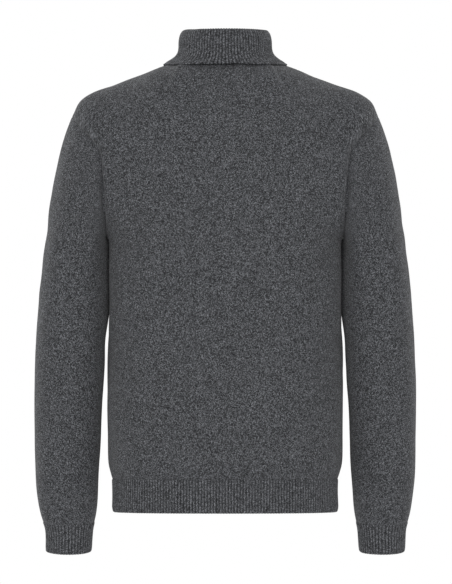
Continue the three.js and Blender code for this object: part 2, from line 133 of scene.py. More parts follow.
# The left armhole seam: from the underarm up the back to the shoulder tip and down the front
ARMHOLE = table(
    "x y z",
    (181.4, 0, -262),
    (181.6, 36, -252),
    (182.3, 60, -226),
    (183.5, 73, -190),
    (185.5, 75, -155),
    (191.0, 70, -130),
    (204.0, 60, -111),
    (220.0, 42, -94),
    (231.0, 22, -83),
    (235.0, 0, -78),
    (230.5, -22, -83),
    (218.5, -43, -93.5),
    (201.0, -61, -110),
    (187.0, -71, -130),
    (180.8, -74, -156),
    (179.4, -71, -190),
    (180.2, -58, -225),
    (181.0, -35, -251),
)

# The ridge of the shoulder, where the front and back are sewn, from the neck to the tip
SHOULDER_RIDGE = table(
    "x z", (66, 9), (101, -2.7), (137, -17.6), (170, -29.6), (199, -39.8), (221.5, -54), (235, -78)
)
NECKLINE = {
    "half_width": 66, "back": 61, "front": 64, "back_z": 4, "side_z": 9, "front_z": -36,
}

# How each column of a panel rises from the underarm ring and comes over to the top edge:
# middle first, armhole last. low_y and rise place the lower handle, the others the upper one.
BACK_COLUMNS = table(
    "low_y rise top_x top_y top_z",
    (131, 95, 0, 39, -34),
    (129, 93, 2, 46, -4),
    (122, 140, 6, 106, 0),
    (110, 66, -4, 86, -4),
    (95, 0, -63, 100, -13),
)
FRONT_COLUMNS = table(
    "low_y rise top_x top_y top_z",
    (136, 88, 0, 36, -46),
    (134, 86, 2, 42, -38),
    (126, 80, 6, 68.5, -14.5),
    (112, 62, -6, 82, -5),
    (92, 0, -67, 96, -13),
)
ARMHOLE_FADE_FROM = 0.55

# How far out the cloth beside the armhole leans as it starts to rise
UNDERARM_FULLNESS = 3

# The neck's corner at the top edge is smoothed over this share of a panel further down
CORNER_SPREAD = 0.12
CORNER_SAMPLES = 11

# The way across the armhole seam: level at the side, and turned down at the shoulder's tip
ARMHOLE_TIP_FROM = 0.55
ARMHOLE_TIP_ACROSS = (0.45, 0, -0.89)
ARMHOLE_LOOK = 0.01

# The way across the neck seam: up and inward, more so at the sides
NECK_INWARD = 0.36
NECK_INWARD_AT_SIDES = 0.24
NECK_UPWARD = 0.9
NECK_LOOK = 0.05

# The sleeve head: how each column leaves the armhole and arrives at the first full ring,
# from the underarm to the shoulder tip
SLEEVE_HEAD_COLUMNS = table(
    "leave_x leave_y leave_z arrive_x arrive_z",
    (1.2, 0, -12, 0, 12),
    (10, 9, -16, 0, 28),
    (34, 7, -26, -2, 58),
    (33, 4, -46, -6.5, 70),
    (25, 0, -62, -10, 82),
)

# The left sleeve from its first full ring to the cuff rib; tilt slopes a ring with the forearm
SLEEVE_SECTIONS = table(
    "z inner outer middle_y half_depth tilt",
    (-300, 183.2, 278.6, 3, 62, 0),
    (-345, 182.6, 284, 2, 61, 0),
    (-400, 183, 288, -1, 58.5, 0.02),
    (-460, 185.4, 291, -5, 55.5, 0.05),
    (-520, 188.6, 292, -11, 52, 0.08),
    (-580, 191.4, 291.8, -18, 48.5, 0.11),
    (-630, 193.6, 290.2, -24, 45.5, 0.13),
    (-665, 196, 286.6, -29, 43, 0.14),
    (-684, 198.2, 283.2, -31.5, 40.5, 0.15),
    (-697, 200.6, 279.6, -33.5, 38, 0.15),
)
CUFF_SECTIONS = table(
    "z inner outer middle_y half_depth tilt",
    (-697, 200.6, 279.6, -33.5, 38, 0.15),
    (-712, 203.4, 275.9, -36.2, 35.5, 0.15),
    (-743, 205.6, 275.2, -41, 34.5, 0.15),
)

# The collar's visible face: up the inside of the stand, over the roll and down the fold
COLLAR_SECTIONS = table(
    "half_width back front back_z side_z front_z",
    (63.9, 58.6, 61.7, 3.1, 7.4, -37),
    (59.2, 54.6, 57.2, 21, 23, -10),
    (56.8, 52.4, 55, 40, 40.6, 18),
    (58, 53.6, 56.2, 50.6, 49.6, 30),
    (62.8, 58.6, 61.2, 55.4, 54.2, 36),
    (68.2, 64.4, 67, 50.8, 48.8, 30),
    (70.8, 66.9, 69.5, 40, 38.6, 17),
    (71.5, 68, 70.8, 23, 24.2, -6),
    (75.2, 69.4, 72.6, 13.6, 15.6, -20),
    (84.2, 71.4, 74.4, 7, 8.4, -32.5),
    (95.8, 74, 76.6, 2.4, 2.8, -43),
)

# Soft troughs pressed into the cloth: seen from one side (1 the back, -1 the front), from one
# end to the other, how wide, and how deep
CREASES = table(
    "side from_x from_z to_x to_z width depth",
    (1, 276, -262, 244, -228, 13, 1.5),
    (1, 270, -318, 236, -352, 14, 1.3),
    (1, 268, -366, 232, -384, 12, 1.2),
    (1, 222, -596, 256, -632, 15, 1.5),
    (1, 206, -560, 232, -590, 13, 1.0),
    (1, 281, -505, 262, -540, 14, 0.9),
    (1, -232, -226, -268, -246, 13, 1.4),
    (1, -222, -306, -262, -330, 14, 1.4),
    (1, -210, -400, -244, -424, 13, 1.0),
    (1, -226, -560, -262, -604, 15, 1.3),
    (1, -204, -620, -238, -652, 12, 1.0),
    (1, 168, -272, 132, -322, 17, 1.6),
    (1, -168, -276, -136, -330, 17, 1.5),
    (1, 172, -420, 128, -560, 22, 1.6),
    (1, -174, -410, -132, -548, 22, 1.7),
    (1, 176, -200, 150, -150, 15, 1.1),
    (1, -176, -196, -152, -146, 15, 1.2),
    (1, 92, -26, 62, -54, 16, 1.0),
    (1, -96, -28, -64, -58, 16, 1.1),
    (1, 30, -596, 74, -560, 26, 0.9),
    (1, -58, -470, -20, -520, 30, 0.8),
    (-1, 274, -250, 240, -222, 14, 1.4),
    (-1, 262, -420, 214, -392, 15, 1.8),
    (-1, 260, -448, 206, -428, 14, 1.5),
    (-1, 272, -560, 226, -586, 14, 1.2),
    (-1, -270, -244, -238, -218, 14, 1.3),
    (-1, -258, -416, -212, -394, 15, 1.7),
    (-1, -264, -452, -210, -424, 14, 1.5),
    (-1, -268, -566, -228, -590, 14, 1.2),
    (-1, 168, -270, 128, -316, 18, 1.7),
    (-1, -168, -268, -126, -320, 18, 1.8),
    (-1, 156, -500, 112, -590, 24, 1.4),
    (-1, -158, -496, -116, -596, 24, 1.5),
    (-1, 60, -60, 96, -96, 18, 1.0),
    (-1, -60, -62, -98, -92, 18, 1.1),
)

# A crease stops short of its two ends by this share of its length. It has a low ridge round it,
# of this share of its depth, and fades towards the sweater's other side between these depths.
CREASE_END = 0.12
CREASE_SHOULDER = 0.35
CREASE_FADE = (-14, 18)

# Where the hanging sleeve lies against the body: the body's side gives way and the sleeve fills it
CONTACT = {
    "top_z": -262, "upper_z": -267, "lower_z": -362, "bottom_z": -430,
    "half_depth": 18, "full_within": 10, "gone_beyond": 24,
    "body_dent": 5.4, "sleeve_bulge": 6.2, "body_x": 179.6, "sleeve_x": 183,
}

# The hollow that follows the armhole seam on the sleeve: how deep, and how far from the seam.
# It comes in above the underarm between two heights, and goes towards the shoulder's ridge.
ARMHOLE_HOLLOW = 4.8
ARMHOLE_HOLLOW_AT = 3.0
HOLLOW_RISE_Z = (-250, -205)
HOLLOW_RIDGE_Y = (8, 36)

# Waves that make the whole surface slightly uneven: a wavelength each way, a phase, a height
UNEVENNESS = table(
    "along_x along_y along_z phase height",
    (118, 160, 210, 0.4, 0.32),
    (-74, 95, 131, 2.1, 0.26),
    (49, -66, 88, 4.4, 0.16),
    (-33, 41, -57, 1.3, 0.1),
)

# Yarn: its colour, and the colour of the pale fibres in it
YARN_COLOUR = (0.0605, 0.0624, 0.0672)
YARN_LIGHT = (0.190, 0.195, 0.208)

# Heather: the lightest specks of the yarn are this many times as light as the darkest, and
# this wide and long in millimetres
SPECK_SPREAD = {"jersey": 17.0, "rib": 11.0}
SPECK_WIDE = 1.2
SPECK_LONG = 0.8

# Stitches: how steeply their two legs slant, how round a stitch and its legs are, how far the
# yarn wanders and what share of that across, and the bump's strength and depth in metres, with
# fibre and fuzz as shares of a stitch
LEG_SLANT = 1.4
STITCH_ROUNDNESS = 0.6
LEG_ROUNDNESS = 0.5
WANDER_REACH = 0.45
WANDER_ACROSS = 0.5
BUMP_STRENGTH = 0.55
BUMP_DEPTH = 0.0005
FIBRE_HEIGHT = 0.55
FUZZ_HEIGHT = 0.9

# How much lighter or darker the yarn is by flecks and by clouds, by painted shade down in a
# stitch and a faint painted highlight on top of it, and by a painted highlight on top of a rib
# and painted shade in the trough between two. It is never darker than the darkest shade, and
# the pale fibres show by their share.
FLECK_SHADE = 0.35
CLOUD_SHADE = 0.07
STITCH_PAINTED_SHADE = (-0.16, 0.04)
RIB_PAINTED_LIGHT_AND_SHADE = (0.34, -0.55)
DARKEST_SHADE = 0.2
PALE_SHARE = 0.55

# The yarn's surface
YARN_ROUGHNESS = (0.88, 1.0)
YARN_SPECULAR = 0.2
YARN_SHEEN = 0.14
YARN_SHEEN_ROUGHNESS = 0.45

# Noise over the cloth: how wide and long its spots are in millimetres, its detail and its seed
WANDER = (9.0, 9.0, 2.0, 0.0)
FIBRE = (0.8, 0.5, 3.0, 0.0)
FUZZ = (3.0, 2.4, 3.0, 4.0)
FLECK = (2.6, 1.6, 2.0, 9.0)
CLOUD = (14.0, 11.0, 2.0, 2.0)
PALE_FIBRE = (2.1, 0.9, 1.0, 17.0)

# Lights: where each stands, how wide it is and its power, in metres and watts
LIGHTS = {
    "key": ((0.2, 4.6, 0.9), 4.2, 100),
    "rim_left": ((2.8, -2.8, 1.5), 1.8, 70),
    "rim_right": ((-2.8, -2.8, 1.5), 1.8, 52),
}
LIGHT_AIM = (0.0, 0.0, -0.35)

# The room's light on the cloth, against the white that the camera sees
ROOM_LIGHT = 0.5

# The camera: the garment's middle as the photograph frames it, and how far behind it stands
CAMERA = (-1.2, 14000.0, -345.8)
IMAGE_HEIGHT = 584
MILLIMETRES_PER_PIXEL = 1.53
VIEW_HEIGHT = IMAGE_HEIGHT * MILLIMETRES_PER_PIXEL
SENSOR = 36.0

# The floor: its place and size, and a pale shade with hardly any grain
FLOOR_Z = -1000.0
FLOOR_RADIUS = 2600.0
FLOOR_SIDES = 96
FLOOR_SHADE = 0.8
FLOOR_ROUGHNESS = 0.9
FLOOR_GRAIN = 0.02
FLOOR_GRAIN_SCALE = 40.0


def smooth(low, high, value):
    part = np.clip((value - low) / (high - low), 0, 1)
    return part * part * (3 - 2 * part)


def vectors(x, y, z):
    return np.stack(np.broadcast_arrays(x, y, z), axis=-1).astype(float)


def unit(directions):
    length = np.linalg.norm(directions, axis=-1, keepdims=True)
    return directions / np.maximum(length, 1e-9)


def dot(first, second):
    return np.sum(first * second, axis=-1, keepdims=True)


def table_at(rows, position):
    """A table read between its rows, on a smooth curve through each named column."""
    last = len(next(iter(rows.values()))) - 1
    position = np.asarray(position, float)
    index = np.clip(np.floor(position), 0, last - 1).astype(int)
    part = position - index
    read = {}
    for name, column in rows.items():
        first = 2 * column[0] - column[1]
        beyond = 2 * column[-1] - column[-2]
        padded = np.concatenate([[first], column, [beyond]])
        before, here, after, next_after = (padded[index + step] for step in range(4))
        slope_here = (after - before) / 2
        slope_after = (next_after - here) / 2
        bend = 2 * (here - after) + slope_here + slope_after
        lean = 3 * (after - here) - 2 * slope_here - slope_after
        read[name] = ((bend * part + lean) * part + slope_here) * part + here
    return read


def rows_by_height(rows, step, extra_first=False):
    """Positions in a table that are about one step of height apart, with one beside a seam."""
    heights = rows["z"]
    count = max(int(round(abs(heights[-1] - heights[0]) / step)), 2)
    wanted = np.linspace(heights[0], heights[-1], count + 1)
    if extra_first:
        beside = heights[0] + np.sign(heights[-1] - heights[0]) * SEAM_STEP
        wanted = np.insert(wanted, 1, beside)
    places = np.arange(len(heights), dtype=float)
    if heights[0] > heights[-1]:
        return np.interp(-wanted, -heights, places)
    return np.interp(wanted, heights, places)


def bezier(start, start_handle, end_handle, end, part):
    rest = 1 - part
    return (
        start * rest**3
        + start_handle * 3 * rest * rest * part
        + end_handle * 3 * rest * part * part
        + end * part**3
    )


def signed_power(value, power):
    return np.sign(value) * np.abs(value) ** power


def body_point(section, side, across):
    """One half of a body ring: across runs from -1 to 1, side is 1 behind and -1 in front."""
    angle = across * np.pi / 2
    depth = section["back"] if side > 0 else section["front"]
    power = 2 / BODY_ROUNDNESS
    x = section["half_width"] * signed_power(np.sin(angle), power)
    y = side * depth * np.maximum(np.cos(angle), 0) ** power
    return vectors(x, y, section["z"])


def neck_point(ring, angle):
    along = np.cos(angle)
    depth = np.where(along > 0, ring["back"], ring["front"])
    far_z = np.where(along > 0, ring["back_z"], ring["front_z"])
    z = ring["side_z"] + (far_z - ring["side_z"]) * along * along
    return vectors(ring["half_width"] * np.sin(angle), depth * along, z)


def sleeve_point(section, angle):
    middle_x = (section["inner"] + section["outer"]) / 2
    half_width = (section["outer"] - section["inner"]) / 2
    power = 2 / SLEEVE_ROUNDNESS
    y = section["half_depth"] * signed_power(np.sin(angle), power)
    x = middle_x - half_width * signed_power(np.cos(angle), power)
    return vectors(x, section["middle_y"] + y, section["z"] - y * section["tilt"])


# Seams: the points on them and the way out of the cloth


def armhole_point(turn):
    """The armhole seam, once round for turn 0 to 1, from the underarm by way of the back."""
    knots = vectors(ARMHOLE["x"], ARMHOLE["y"], ARMHOLE["z"])
    count = len(knots)
    position = np.mod(turn, 1) * count
    index = np.floor(position).astype(int) % count
    part = (position - np.floor(position))[..., None]
    before, here, after, beyond = (knots[(index + step - 1) % count] for step in range(4))
    return 0.5 * (
        2 * here
        + (after - before) * part
        + (2 * before - 5 * here + 4 * after - beyond) * part**2
        + (3 * here - before - 3 * after + beyond) * part**3
    )


def armhole_outward(turn):
    along = unit(armhole_point(turn + ARMHOLE_LOOK) - armhole_point(turn - ARMHOLE_LOOK))
    height = 1 - np.abs(np.mod(turn, 1) * 2 - 1)
    lean = smooth(ARMHOLE_TIP_FROM, 1, height)[..., None]
    across = np.array([1.0, 0, 0]) * (1 - lean) + np.array(ARMHOLE_TIP_ACROSS) * lean
    across = unit(across - along * dot(across, along))
    return unit(np.cross(along, across))


def neckline_outward(angle):
    ahead, behind = angle + NECK_LOOK, angle - NECK_LOOK
    along = unit(neck_point(NECKLINE, ahead) - neck_point(NECKLINE, behind))
    inward = NECK_INWARD + NECK_INWARD_AT_SIDES * np.sin(angle) ** 2
    across = vectors(-inward * np.sin(angle), -inward * np.cos(angle), NECK_UPWARD)
    across = unit(across - along * dot(across, along))
    outward = unit(np.cross(along, across))
    radial = neck_point(NECKLINE, angle) * np.array([1, 1, 0])
    return outward * np.where(dot(outward, radial) < 0, -1, 1)


# Unevenness and folds are one function of place, so that they run on across seams


def soft_relief(points):
    """How far the cloth stands out of its plain form at each point."""
    x, y, z = points[..., 0], points[..., 1], points[..., 2]
    out = np.zeros(x.shape)
    for wave in zip(*UNEVENNESS.values()):
        along_x, along_y, along_z, phase, height = wave
        turns = x / along_x + y / along_y + z / along_z
        out += height * np.sin(2 * np.pi * turns + phase)
    for crease in zip(*CREASES.values()):
        side, from_x, from_z, to_x, to_z, width, depth = crease
        run_x, run_z = to_x - from_x, to_z - from_z
        length = np.hypot(run_x, run_z)
        part = ((x - from_x) * run_x + (z - from_z) * run_z) / length**2
        near = np.clip(part, CREASE_END, 1 - CREASE_END)
        gone = np.hypot(x - from_x - near * run_x, z - from_z - near * run_z)
        trough = np.exp(-((gone / width) ** 2))
        shoulder = CREASE_SHOULDER * np.exp(-(((gone - 2 * width) / width) ** 2))
        out += depth * (shoulder - trough) * smooth(*CREASE_FADE, y * side)
    return out * (1 - touching(points))


def touching(points):
    """How closely a point lies to the line where a sleeve touches the body, from 0 to 1."""
    x, y, z = points[..., 0], points[..., 1], points[..., 2]
    down = smooth(CONTACT["top_z"], CONTACT["upper_z"], z)
    down = down * smooth(CONTACT["bottom_z"], CONTACT["lower_z"], z)
    across = np.exp(-((y / CONTACT["half_depth"]) ** 2))
    from_line = np.abs(np.abs(x) - (CONTACT["body_x"] + CONTACT["sleeve_x"]) / 2)
    return down * across * smooth(CONTACT["gone_beyond"], CONTACT["full_within"], from_line)


def grid_normals(grid, closed):
    up = np.gradient(grid, axis=0)
    if closed:
        over = np.roll(grid, -1, axis=1) - np.roll(grid, 1, axis=1)
    else:
        over = np.gradient(grid, axis=1)
    return unit(np.cross(over, up))


def lengths_along(grid, axis):
    """The distance from the first row or column, through each point of a grid."""
    steps = np.linalg.norm(np.diff(grid, axis=axis), axis=-1)
    start = np.zeros_like(np.take(steps, [0], axis=axis))
    return np.concatenate([start, np.cumsum(steps, axis=axis)], axis=axis)


def rounded_edge(outer_row, inner_row, beyond):
    """Rows that carry the cloth round a free edge from its outer to its inner face."""
    middle = (outer_row + inner_row) / 2
    half = (outer_row - inner_row) / 2
    reach = np.linalg.norm(half, axis=-1, keepdims=True)
    turns = np.radians([45, 90, 135])
    return [middle + half * np.cos(turn) + beyond * reach * np.sin(turn) for turn in turns]


def make_wall(name, outer, inner, knit, closed, free_end=False):
    """A closed piece of cloth from its outer and inner points and its place in the knitting.
    Rows run from one edge to the other, and free_end rounds the last one."""
    rows, columns = outer.shape[:2]
    profile = list(outer)
    places = list(knit)
    if free_end:
        beyond = unit(outer[-1] + inner[-1] - outer[-2] - inner[-2])
        edge = rounded_edge(outer[-1], inner[-1], beyond)
        profile += edge
        places += [knit[-1]] * len(edge)
    profile += list(inner[::-1])
    places += list(knit[::-1])
    points = np.array(profile)
    spots = np.array(places)

    around = len(points)
    cells = columns if closed else columns - 1
    row, column = np.meshgrid(np.arange(around), np.arange(cells), indexing="ij")
    next_row = (row + 1) % around
    next_column = (column + 1) % columns
    corners = np.stack(
        [
            row * columns + column,
            row * columns + next_column,
            next_row * columns + next_column,
            next_row * columns + column,
        ],
        axis=-1,
    ).reshape(-1, 4)
    wide = spots.shape[1]
    flat = spots.reshape(-1, 2)
    spot_corners = np.stack(
        [
            row * wide + column,
            row * wide + column + 1,
            next_row * wide + column + 1,
            next_row * wide + column,
        ],
        axis=-1,
    ).reshape(-1, 4)

    vertices = points.reshape(-1, 3)
    first, second, third, fourth = (vertices[corners[:, index]] for index in range(4))
    volume = np.sum(np.cross(first, second) * third) + np.sum(np.cross(first, third) * fourth)
    if volume < 0:
        corners = corners[:, ::-1]
        spot_corners = spot_corners[:, ::-1]
    faces = corners.tolist()
    face_spots = flat[spot_corners].reshape(-1, 2)
    if not closed:
        caps, cap_spots = side_caps(rows, around, columns, spots)
        if volume < 0:
            caps = [cap[::-1] for cap in caps]
            cap_spots = [cap[::-1] for cap in cap_spots]
        faces += caps
        face_spots = np.concatenate([face_spots] + cap_spots)

    mesh = bpy.data.meshes.new(name)
    mesh.from_pydata((vertices * MILLIMETRE).tolist(), [], faces)
    layer = mesh.uv_layers.new(name="knit")
    layer.data.foreach_set("uv", (face_spots * MILLIMETRE).ravel())
    mesh.polygons.foreach_set("use_smooth", [True] * len(mesh.polygons))
    mesh.set_sharp_from_angle(angle=SMOOTH_UP_TO)
    mesh.update()
    wall = bpy.data.objects.new(name, mesh)
    bpy.context.collection.objects.link(wall)
    return wall


def side_caps(rows, around, columns, spots):
    """Faces that close the two sides of an open wall, facing as its other faces do."""
    caps = []
    cap_spots = []
    for row in range(rows - 1):
        ring = [row, row + 1, around - 2 - row, around - 1 - row]
        caps.append([place * columns for place in ring])
        cap_spots.append(spots[ring, 0])
        caps.append([place * columns + columns - 1 for place in ring[::-1]])
        cap_spots.append(spots[ring[::-1], -1])
    edge = list(range(rows - 1, around - rows + 1))
    if len(edge) > 2:
        caps.append([place * columns for place in edge])
        cap_spots.append(spots[edge, 0])
        caps.append([place * columns + columns - 1 for place in edge[::-1]])
        cap_spots.append(spots[edge[::-1], -1])
    return caps, cap_spots


# Front and back panels


def even_shares(ring, side, low, high, count):
    """Places across half a ring that are evenly spaced by length between two of them."""
    fine = np.linspace(low, high, EVEN_SAMPLES)
    lengths = lengths_along(body_point(ring, side, fine)[None], 1)[0]
    return np.interp(np.linspace(0, lengths[-1], count + 1), lengths, fine)


def top_edge_point(side, share):
    neck_angle = share * np.pi if side > 0 else np.pi - share * np.pi
    ridge = table_at(SHOULDER_RIDGE, (share - 0.5) * 2 * (len(SHOULDER_RIDGE["x"]) - 1))
    on_ridge = vectors(ridge["x"], 0, ridge["z"])
    return np.where((share > 0.5)[..., None], on_ridge, neck_point(NECKLINE, neck_angle))


def softened_top_edge(side, share, part):
    """The top edge as a column's lower cloth feels it, with the neck's corner smoothed away."""
    offsets = np.linspace(-1, 1, CORNER_SAMPLES)
    weights = 1 + np.cos(offsets * np.pi * 0.9)
    total = 0
    for offset, weight in zip(offsets, weights / np.sum(weights)):
        place = share + offset * CORNER_SPREAD * (1 - part)
        inside = np.where(place > 1, 2 - place, np.abs(place))
        mirror = np.where((place < 0)[..., None], [-1, 1, 1], [1, 1, 1])
        total = total + weight * mirror * top_edge_point(side, inside)
    return total


def yoke_column(side, share, part):
    handles = table_at(BACK_COLUMNS if side > 0 else FRONT_COLUMNS, share * 4)
    ring = {name: column[-1] for name, column in BODY_SECTIONS.items()}
    start = body_point(ring, side, share)
    start_handle = vectors(
        start[..., 0] + UNDERARM_FULLNESS * share**4,
        side * handles["low_y"],
        start[..., 2] + handles["rise"],
    )
    end = softened_top_edge(side, share, part)
    end_handle = end + vectors(handles["top_x"], side * handles["top_y"], handles["top_z"])
    return bezier(start, start_handle, end_handle, end, part[..., None])


def armhole_turn(side, part):
    return part / 2 if side > 0 else 1 - part / 2


def yoke_grid(side, shares, parts):
    share, part = np.broadcast_arrays(shares[None], parts[:, None])
    points = yoke_column(side, share, part)
    seam = armhole_point(armhole_turn(side, parts))
    miss = seam - yoke_column(side, np.ones_like(parts), parts)
    fade = smooth(ARMHOLE_FADE_FROM, 1, share)
    fade = np.where(part == 1, 0, fade)
    return points + miss[:, None] * fade[..., None]


def panel(name, side):
    ring = {column: values[-1] for column, values in BODY_SECTIONS.items()}
    inner_shares = even_shares(ring, side, 0, 0.5, PANEL_COLUMNS_INNER)
    outer_shares = even_shares(ring, side, 0.5, 1, PANEL_COLUMNS_OUTER)
    shares = np.concatenate([inner_shares, outer_shares[1:]])
    shares = np.insert(shares, -1, 1 - PANEL_BESIDE_ARMHOLE)
    low = rows_by_height(BODY_SECTIONS, PANEL_ROW_STEP, extra_first=True)[:-1]
    parts = np.linspace(0, 1, YOKE_ROWS + 1)
    parts = np.insert(parts, -1, 1 - PANEL_BESIDE_TOP)
    sections = {key: column[:, None] for key, column in table_at(BODY_SECTIONS, low).items()}
    half = np.concatenate(
        [body_point(sections, side, shares[None]), yoke_grid(side, shares, parts)]
    )
    grid = np.concatenate([half[:, :0:-1] * np.array([-1, 1, 1]), half], axis=1)
    across = np.concatenate([-shares[:0:-1], shares])
    normals = grid_normals(grid, False) * -side
    edge = np.zeros(grid.shape[:2])

    # Edge normals are set by the seams, so that the pieces beside them match
    count = len(low)
    normals[0] = unit(normals[0] * np.array([1, 1, 0]))
    slope = np.gradient(half[: count + 1, -1], axis=0)
    upright = unit(vectors(slope[:, 2], 0, -slope[:, 0]))[:count]
    seam_out = armhole_outward(armhole_turn(side, parts))
    for column, sign in ((-1, 1), (0, -1)):
        turned = np.array([sign, 1, 1])
        normals[:count, column] = upright * turned
        normals[count:, column] = seam_out * turned
        edge[:, column] = 1
    neck = np.abs(across) <= 0.5
    angle = np.abs(across) * np.pi if side > 0 else np.pi - np.abs(across) * np.pi
    angle = angle * np.where(across < 0, -1, 1)
    normals[-1, neck] = neckline_outward(angle[neck])
    ridge = grid[-1, ~neck]
    fall = unit(vectors(np.gradient(ridge[:, 0]), 0, np.gradient(ridge[:, 2])))
    level = vectors(-fall[:, 2], 0, fall[:, 0])
    level = level * np.where(level[:, 2:] < 0, -1, 1)
    normals[-1, ~neck] = level
    edge[0] = BAND_SEAM_DIP / SEAM_DIP
    edge[-1] = 1

    # Places in the knitting: wales run straight up, and are counted from the middle
    across_ring = lengths_along(grid, 1)
    across_ring = across_ring - across_ring[:, [len(shares) - 1]]
    middle = half[:, 0]
    order = np.argsort(middle[:, 2])
    middle_y = np.interp(grid[..., 2], middle[order, 2], middle[order, 1])
    upper = np.sign(grid[..., 0]) * np.hypot(grid[..., 0], middle_y - grid[..., 1])
    height = np.concatenate([np.zeros(count), parts])
    blend = smooth(0, YOKE_BLEND, height)[:, None]
    wale = across_ring * (1 - blend) + upper * blend
    course = lengths_along(grid, 0)

    relief = soft_relief(grid)[..., None]
    touched = touching(grid)
    dent = CONTACT["body_dent"] * touched * np.sign(grid[..., 0])
    base = grid + normals * relief - vectors(dent, 0, 0)
    outer = base - normals * (SEAM_DIP * edge)[..., None]
    inner = base - normals * JERSEY_WALL
    return make_wall(name, outer, inner, np.stack([wale, course], axis=-1), closed=False)


# Sleeves


def sleeve_head(columns):
    turn = np.arange(columns) / columns
    height = 1 - np.abs(turn * 2 - 1)
    side = np.where(turn <= 0.5, 1, -1)
    handles = table_at(SLEEVE_HEAD_COLUMNS, height * 4)
    start = armhole_point(turn)
    start_handle = start + vectors(
        handles["leave_x"], side * handles["leave_y"], handles["leave_z"]
    )
    ring = {name: column[0] for name, column in SLEEVE_SECTIONS.items()}
    end = sleeve_point(ring, turn * 2 * np.pi)
    end_handle = end + vectors(handles["arrive_x"], 0, handles["arrive_z"])
    parts = np.linspace(0, 1, SLEEVE_HEAD_ROWS + 1)[:-1]
    parts = np.insert(parts, 1, SLEEVE_BESIDE_ARMHOLE)
    return bezier(start, start_handle, end_handle, end, parts[:, None, None])


def ring_normals(normals, tilt):
    """The ways out of tilted rings, kept in each ring's own plane so that its rim is flat."""
    axis = unit(vectors(0, tilt, 1.0))
    return unit(normals - axis * dot(normals, axis))


def closed_places(grid, wale=None):
    """Places in the knitting of a tube, counted from its last edge and from its outer line."""
    again = np.concatenate([grid, grid[:, :1]], axis=1)
    if wale is None:
        wale = lengths_along(again, 1)
        wale = wale - wale[:, [grid.shape[1] // 2]]
    course = lengths_along(again, 0)
    return np.stack([np.broadcast_to(wale, course.shape), course[-1:] - course], axis=-1)


def armhole_hollow(grid):
    """The sleeve sinks beside its seam and rises again, but not under the arm or on its top."""
    gone = lengths_along(grid, 0) / ARMHOLE_HOLLOW_AT
    seam = grid[0]
    share = smooth(*HOLLOW_RISE_Z, seam[:, 2]) * smooth(*HOLLOW_RIDGE_Y, np.abs(seam[:, 1]))
    return ARMHOLE_HOLLOW * gone * np.exp(1 - gone) * share


def sleeve(name, sign):
    turned = np.array([sign, 1, 1])
    turn = np.arange(SLEEVE_COLUMNS) / SLEEVE_COLUMNS
    rows = rows_by_height(SLEEVE_SECTIONS, SLEEVE_ROW_STEP)
    rows = np.insert(rows, -1, rows[-1] - SLEEVE_BESIDE_CUFF)
    sections = {key: column[:, None] for key, column in table_at(SLEEVE_SECTIONS, rows).items()}
    tube = sleeve_point(sections, turn[None] * 2 * np.pi)
    grid = np.concatenate([sleeve_head(SLEEVE_COLUMNS), tube])
    normals = grid_normals(grid, True)
    normals[0] = armhole_outward(turn)
    normals[-1] = ring_normals(normals[-1], SLEEVE_SECTIONS["tilt"][-1])
    edge = np.zeros((len(grid), 1, 1))
    edge[0] = SEAM_DIP
    edge[-1] = BAND_SEAM_DIP
    knit = closed_places(grid)
    relief = (soft_relief(grid * turned) - armhole_hollow(grid))[..., None]
    touched = touching(grid)
    base = grid + normals * relief - vectors(CONTACT["sleeve_bulge"] * touched, 0, 0)
    outer = (base - normals * edge) * turned
    inner = (base - normals * JERSEY_WALL) * turned
    return make_wall(name, outer, inner, knit, closed=True)


# Ribbed bands: hem, cuffs and collar


def rib_height(ribs):
    return RIB_RELIEF * np.abs(np.sin(np.pi * ribs)) ** RIB_FULLNESS


def band_fade(grid):
    """Ribs rise out of a seam within a few millimetres of it."""
    return smooth(*RIB_RISE, lengths_along(grid, 0))


def turned_in(grid, depth):
    """A band draws in a little towards its free edge, which rounds the edge's corners."""
    gone = lengths_along(grid, 0)
    left = gone[-1:] - gone
    return depth * smooth(EDGE_TURN_FROM, 0, left) ** 2


def hem_rib(name, side):
    top = {key: column[0] for key, column in HEM_SECTIONS.items()}
    count = HEM_RIBS_PER_HALF * STEPS_PER_RIB
    across = even_shares(top, side, -1, 1, count)
    ribs = np.arange(count + 1) / STEPS_PER_RIB
    rows = rows_by_height(HEM_SECTIONS, BAND_ROW_STEP, extra_first=True)
    sections = {key: column[:, None] for key, column in table_at(HEM_SECTIONS, rows).items()}
    grid = body_point(sections, side, across[None])
    grid[-1, :, 2] += RIB_WALL / 2
    normals = unit(grid_normals(grid, False) * side * np.array([1, 1, 0]))
    normals[:, [0, -1]] = unit(normals[:, [0, -1]] * np.array([1, 0, 0]))
    raised = rib_height(ribs)[None] * band_fade(grid)
    raised[0] = -BAND_SEAM_DIP
    relief = soft_relief(grid) - turned_in(grid, HEM_TURN_IN)
    outer = grid + normals * (relief + raised)[..., None]
    inner = grid + normals * (relief - RIB_WALL)[..., None]
    course = lengths_along(grid, 0)
    wale = np.broadcast_to(ribs * RIB_WALE, course.shape)
    knit = np.stack([wale, course[-1:] - course], axis=-1)
    return make_wall(name, outer, inner, knit, closed=False, free_end=True)


